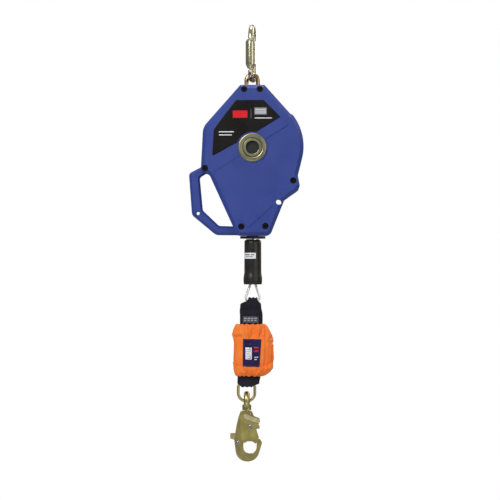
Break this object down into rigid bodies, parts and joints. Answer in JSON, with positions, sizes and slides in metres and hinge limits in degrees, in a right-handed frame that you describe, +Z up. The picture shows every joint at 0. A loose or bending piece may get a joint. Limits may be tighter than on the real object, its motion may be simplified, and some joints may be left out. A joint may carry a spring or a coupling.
{
  "type": "self retracting lifeline",
  "caption": "Hanging fall arrest block with a spring wound wire rope, inertia brake, tear webbing energy absorber, anchor carabiner and swivel snap hook.",
  "frame": {"origin": "the hanging point: inside top of the anchor carabiner, where an anchor bar bears", "axes": "+Z up along the hanging line; the labelled face looks along -Y; +X to the right as seen from the front"},
  "size_m": [0.2235, 0.0964, 0.8557],
  "materials": {
    "blue_plastic": "satin moulded plastic with a fine grain",
    "black_plastic": "matt black plastic",
    "black_label": "gloss black film",
    "zinc": "zinc plated, slightly yellow",
    "yellow_zinc": "yellow zinc plated forging",
    "steel": "bright steel",
    "black_steel": "black oxide",
    "wire_rope": "galvanized strands",
    "aluminium": "cast and machined",
    "bronze": "sintered bronze",
    "copper_plate": "coppery plating",
    "friction": "moulded friction lining",
    "webbing_navy": "woven polyester webbing",
    "cover_orange": "coated woven nylon",
    "label_navy": "woven label",
    "label_white": "printed film",
    "patch_grey": "woven patch",
    "gasket_rubber": "soft rubber"
  },
  "bodies": {
    "carabiner": {"carabiner_body": "zinc", "carabiner_gate_pin": "steel"},
    "carabiner_gate": {"carabiner_gate": "zinc"},
    "carabiner_sleeve": {"carabiner_sleeve": "zinc"},
    "anchor_eye": {"anchor_eye": "copper_plate", "anchor_thrust_washer": "bronze", "anchor_collar": "steel"},
    "housing": {"front_cover": "blue_plastic", "rear_cover": "blue_plastic", "cover_screws": "black_steel", "cover_gasket": "gasket_rubber", "label_panel": "black_label", "front_hub_ring": "zinc", "rear_hub_ring": "zinc", "shaft_end_caps": "black_plastic", "tether_grommet": "blue_plastic", "load_frame": "steel", "main_shaft": "steel", "cable_lead": "wire_rope", "motor_spring": "black_steel", "spring_case": "black_steel", "brake_friction_discs": "friction", "brake_pressure_plate": "steel", "brake_nut": "steel", "outlet_flange": "black_plastic", "outlet_guide": "bronze"},
    "brake_ring": {"brake_ratchet": "steel"},
    "drum": {"drum": "aluminium", "wound_cable": "wire_rope", "shaft_bushings": "bronze", "pawl_pins": "steel", "pawl_springs": "black_steel"},
    "pawl_1": {"pawl_1": "yellow_zinc"},
    "pawl_2": {"pawl_2": "yellow_zinc"},
    "pawl_3": {"pawl_3": "yellow_zinc"},
    "lifeline_end": {"stop_washer": "steel", "bumper": "black_plastic", "bumper_tag": "label_white", "lifeline": "wire_rope", "lifeline_ferrule": "aluminium", "lifeline_loop": "wire_rope"},
    "energy_absorber": {"upper_web_loop": "webbing_navy", "web_patch": "patch_grey", "tear_web_pack": "webbing_navy", "absorber_cover": "cover_orange", "absorber_label": "label_navy", "lower_web_loop": "webbing_navy"},
    "d_ring": {"d_ring": "yellow_zinc"},
    "swivel_eye": {"swivel_eye": "yellow_zinc"},
    "snap_hook": {"hook_body": "yellow_zinc", "hook_gate_pin": "yellow_zinc", "hook_gate_spring": "steel", "hook_lock_pin": "yellow_zinc", "swivel_washer": "steel"},
    "hook_gate": {"hook_gate": "yellow_zinc"},
    "hook_lock": {"hook_lock_lever": "yellow_zinc"}
  },
  "joints": [
    {"name": "carabiner_gate_hinge", "type": "hinge", "parent": "carabiner", "child": "carabiner_gate", "pos_m": [-0.0032, -0.02278, -0.08295], "axis": [-0.9903, 0.1392, 0], "range_deg": [0, 25], "stiffness_Nm_per_rad": 0.02, "springref_deg": -20.05},
    {"name": "carabiner_sleeve_turn", "type": "hinge", "parent": "carabiner_gate", "child": "carabiner_sleeve", "pos_m": [-0.0032, -0.02278, -0.05295], "axis": [0, 0, 1], "range_deg": [0, 90], "stiffness_Nm_per_rad": 0.01, "springref_deg": -28.65},
    {"name": "housing_swing", "type": "hinge", "parent": "carabiner", "child": "anchor_eye", "pos_m": [0, 0, -0.09795], "axis": [0.1392, 0.9903, 0], "range_deg": [-60, 60]},
    {"name": "anchor_swivel", "type": "hinge", "parent": "anchor_eye", "child": "housing", "pos_m": [0, 0, -0.122], "axis": [0, 0, 1], "continuous": true},
    {"name": "brake_slip", "type": "hinge", "parent": "housing", "child": "brake_ring", "pos_m": [0, 0, -0.232], "axis": [0, 1, 0], "continuous": true},
    {"name": "lifeline_payout", "type": "slide", "parent": "housing", "child": "lifeline_end", "axis": [0, 0, -1], "range_m": [0, 6.096], "stiffness_N_per_m": 1.5, "springref_m": -14, "deforming": ["lifeline"]},
    {"name": "drum_spin", "type": "hinge", "parent": "housing", "child": "drum", "pos_m": [0, 0, -0.232], "axis": [0, 1, 0], "range_deg": [0, 6840.01]},
    {"name": "pawl_1_swing", "type": "hinge", "parent": "drum", "child": "pawl_1", "pos_m": [0.048, 0, -0.232], "axis": [0, -1, 0], "range_deg": [0, 18], "stiffness_Nm_per_rad": 0.02, "springref_deg": -17.19},
    {"name": "pawl_2_swing", "type": "hinge", "parent": "drum", "child": "pawl_2", "pos_m": [-0.024, 0, -0.19043], "axis": [0, -1, 0], "range_deg": [0, 18]},
    {"name": "pawl_3_swing", "type": "hinge", "parent": "drum", "child": "pawl_3", "pos_m": [-0.024, 0, -0.27357], "axis": [0, -1, 0], "range_deg": [0, 18]},
    {"name": "absorber_swing", "type": "hinge", "parent": "lifeline_end", "child": "energy_absorber", "pos_m": [0.001, 0, -0.53], "axis": [1, 0, 0], "range_deg": [-40, 40]},
    {"name": "d_ring_swing", "type": "hinge", "parent": "energy_absorber", "child": "d_ring", "pos_m": [-0.0113, 0, -0.695], "axis": [1, 0, 0], "range_deg": [-60, 60]},
    {"name": "hook_eye_swing", "type": "hinge", "parent": "d_ring", "child": "swivel_eye", "pos_m": [-0.0108, 0, -0.7264], "axis": [1, 0, 0], "range_deg": [-60, 60]},
    {"name": "hook_swivel", "type": "hinge", "parent": "swivel_eye", "child": "snap_hook", "pos_m": [-0.0108, 0, -0.753], "axis": [0, 0, 1], "continuous": true},
    {"name": "hook_gate_hinge", "type": "hinge", "parent": "snap_hook", "child": "hook_gate", "pos_m": [-0.003, 0, -0.778], "axis": [0, 1, 0], "range_deg": [0, 30], "stiffness_Nm_per_rad": 0.05, "springref_deg": -17.19},
    {"name": "hook_lock_press", "type": "hinge", "parent": "snap_hook", "child": "hook_lock", "pos_m": [-0.027, 0, -0.809], "axis": [0, 1, 0], "range_deg": [0, 12]}
  ],
  "couplings": [
    {"joint": "drum_spin", "follows": "lifeline_payout", "rad_per_m": 19.583},
    {"joint": "pawl_2_swing", "follows": "pawl_1_swing", "ratio": 1},
    {"joint": "pawl_3_swing", "follows": "pawl_1_swing", "ratio": 1},
    {"joint": "hook_lock_press", "follows": "hook_gate_hinge", "ratio": 0.4}
  ]
}
